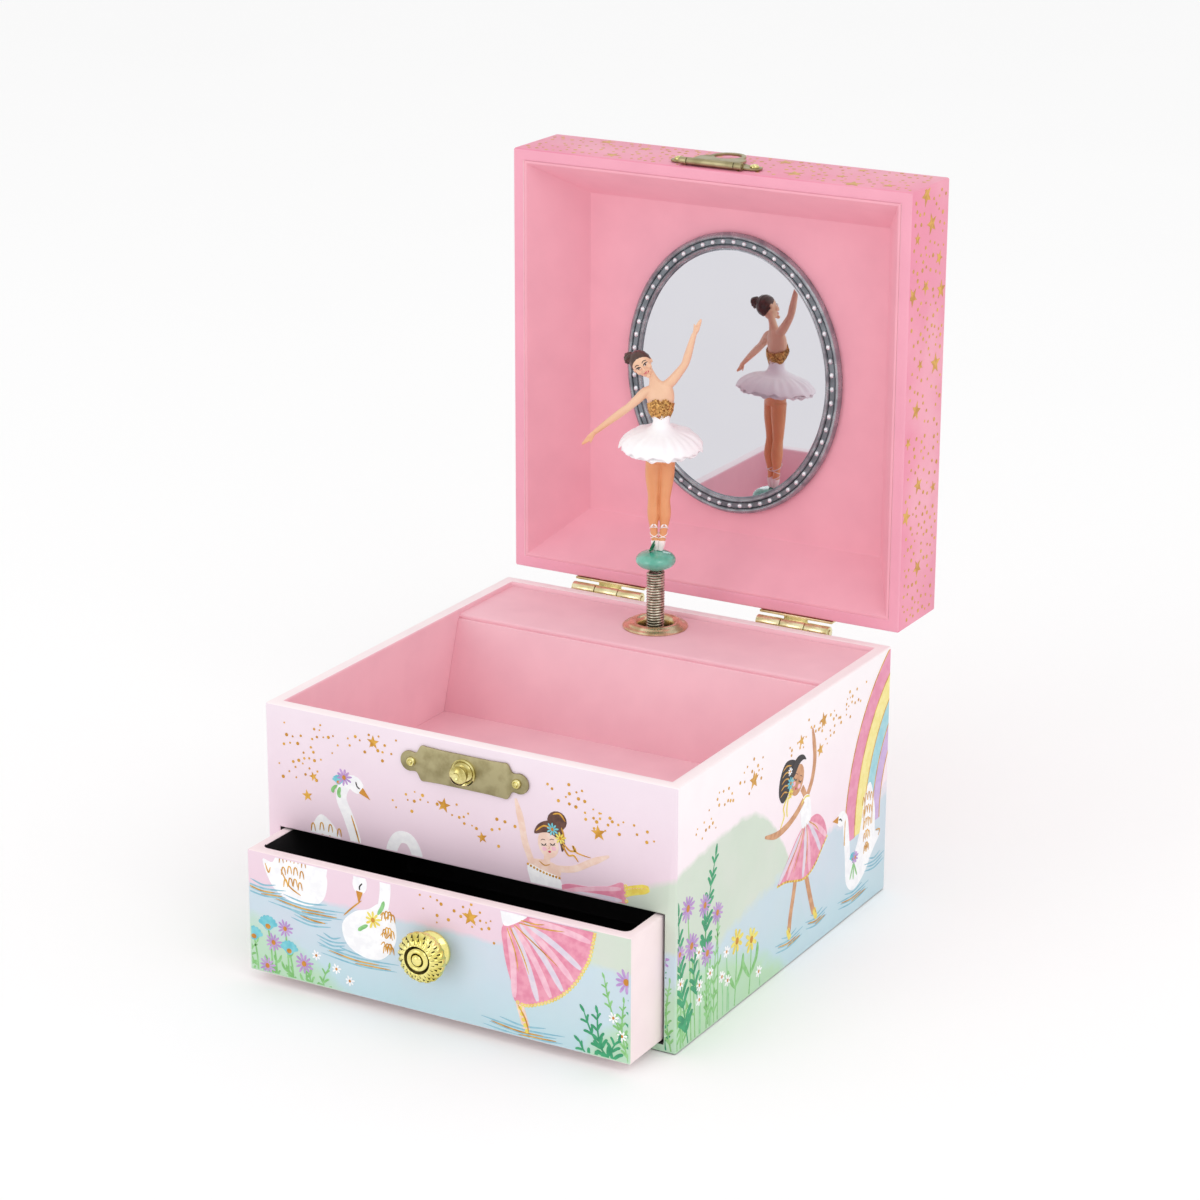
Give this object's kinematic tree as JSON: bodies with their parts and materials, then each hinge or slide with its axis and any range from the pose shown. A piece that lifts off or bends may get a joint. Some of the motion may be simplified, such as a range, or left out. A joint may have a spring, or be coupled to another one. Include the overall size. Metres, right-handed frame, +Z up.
{
  "type": "wind up music box",
  "caption": "Square papered keepsake box with a mirror lid, a pull-out drawer and a wind-up movement that turns a dancer on a folding spring.",
  "frame": {"origin": "centre of the box's underside", "axes": "+X to the right seen from the front, +Y to the back where the lid's hinges are, +Z up"},
  "size_m": [0.15, 0.2145, 0.2438],
  "materials": {
    "printed_paper": "board wrapped in satin printed paper",
    "pink_paper": "board wrapped in matte pink paper",
    "black_paper": "matte black paper on board",
    "old_brass": "satin old brass",
    "polished_brass": "polished",
    "steel": "nickel plated",
    "silvered_frame": "silvered",
    "mirror_glass": "polished",
    "jade_bead": "gloss",
    "painted_skin": "hand painted satin",
    "white_net": "stiffened net"
  },
  "bodies": {
    "base": {"bottom_panel": "printed_paper", "left_side_panel": "printed_paper", "right_side_panel": "printed_paper", "back_panel": "printed_paper", "front_panel": "printed_paper", "tray_floor": "pink_paper", "works_divider": "black_paper", "slanted_partition": "pink_paper", "works_shelf": "pink_paper", "spindle_grommet": "old_brass", "latch_plate": "old_brass", "latch_stud": "old_brass", "latch_nail_left": "old_brass", "latch_nail_right": "old_brass", "left_hinge_base_leaf": "old_brass", "right_hinge_base_leaf": "old_brass", "left_hinge_pin": "old_brass", "right_hinge_pin": "old_brass", "movement_bedplate": "old_brass", "movement_screw_left": "steel", "movement_screw_right": "steel", "music_comb": "steel", "comb_screw_left": "steel", "comb_screw_right": "steel", "governor_bracket": "old_brass"},
    "lid": {"lid_top_panel": "printed_paper", "lid_front_rail": "pink_paper", "lid_back_rail": "pink_paper", "lid_left_rail": "pink_paper", "lid_right_rail": "pink_paper", "lid_lining": "pink_paper", "mirror_frame": "silvered_frame", "mirror_glass": "mirror_glass", "left_hinge_lid_leaf": "old_brass", "right_hinge_lid_leaf": "old_brass", "clasp_plate": "old_brass", "clasp_nail_left": "old_brass", "clasp_nail_right": "old_brass", "clasp_pin": "old_brass"},
    "clasp": {"clasp_tongue": "old_brass"},
    "drawer": {"drawer_front": "printed_paper", "drawer_left_side": "pink_paper", "drawer_right_side": "pink_paper", "drawer_back": "pink_paper", "drawer_bottom": "black_paper", "drawer_knob": "polished_brass", "knob_screw": "steel"},
    "barrel": {"spring_barrel": "old_brass"},
    "key": {"winding_shaft": "steel", "winding_key": "polished_brass"},
    "cylinder": {"melody_cylinder": "old_brass"},
    "governor_wheel": {"governor_gear": "old_brass"},
    "fly": {"governor_fly": "steel"},
    "spindle": {"dancer_spindle": "steel", "spring_foot": "steel"},
    "spring": {"dancer_spring": "steel"},
    "dancer": {"spring_bead": "jade_bead", "dancer_figure": "painted_skin", "dancer_tutu": "white_net"}
  },
  "joints": [
    {"name": "lid_hinge", "type": "hinge", "parent": "base", "child": "lid", "pos_m": [0, 0.0788, 0.0871], "axis": [1, 0, 0], "range_deg": [0, 90]},
    {"name": "clasp_hinge", "type": "hinge", "parent": "lid", "child": "clasp", "pos_m": [0, 0.0829, 0.2425], "axis": [1, 0, 0], "range_deg": [0, 180]},
    {"name": "drawer_slide", "type": "slide", "parent": "base", "child": "drawer", "axis": [0, 1, 0], "range_m": [-0.0557, 0.0193]},
    {"name": "winding_key_turn", "type": "hinge", "parent": "base", "child": "key", "pos_m": [-0.0057, 0.075, 0.056], "axis": [0, 1, 0], "continuous": true},
    {"name": "barrel_run", "type": "hinge", "parent": "base", "child": "barrel", "pos_m": [-0.0057, 0.0612, 0.056], "axis": [0, 1, 0], "continuous": true},
    {"name": "cylinder_turn", "type": "hinge", "parent": "base", "child": "cylinder", "pos_m": [-0.0057, 0.0556, 0.056], "axis": [1, 0, 0], "continuous": true},
    {"name": "governor_gear_turn", "type": "hinge", "parent": "base", "child": "governor_wheel", "pos_m": [-0.0486, 0.0556, 0.0664], "axis": [1, 0, 0], "continuous": true},
    {"name": "governor_fly_turn", "type": "hinge", "parent": "base", "child": "fly", "pos_m": [-0.0486, 0.0575, 0.0731], "axis": [0, 1, 0], "continuous": true},
    {"name": "spindle_turn", "type": "hinge", "parent": "base", "child": "spindle", "pos_m": [-0.0057, 0.0575, 0.0864], "axis": [0, 0, 1], "continuous": true},
    {"name": "dancer_tilt", "type": "hinge", "parent": "base", "child": "spring", "pos_m": [-0.0057, 0.0515, 0.091], "axis": [1, 0, 0], "range_deg": [0, 105]},
    {"name": "dancer_spin", "type": "hinge", "parent": "spring", "child": "dancer", "pos_m": [-0.0057, 0.0575, 0.1102], "axis": [0, 0, 1], "continuous": true}
  ],
  "couplings": [
    {"joint": "cylinder_turn", "follows": "barrel_run", "ratio": 2},
    {"joint": "governor_gear_turn", "follows": "barrel_run", "ratio": -8},
    {"joint": "governor_fly_turn", "follows": "barrel_run", "ratio": 80},
    {"joint": "spindle_turn", "follows": "barrel_run", "ratio": -3},
    {"joint": "dancer_spin", "follows": "barrel_run", "ratio": -3},
    {"joint": "dancer_tilt", "follows": "lid_hinge", "ratio": 1.1666}
  ]
}
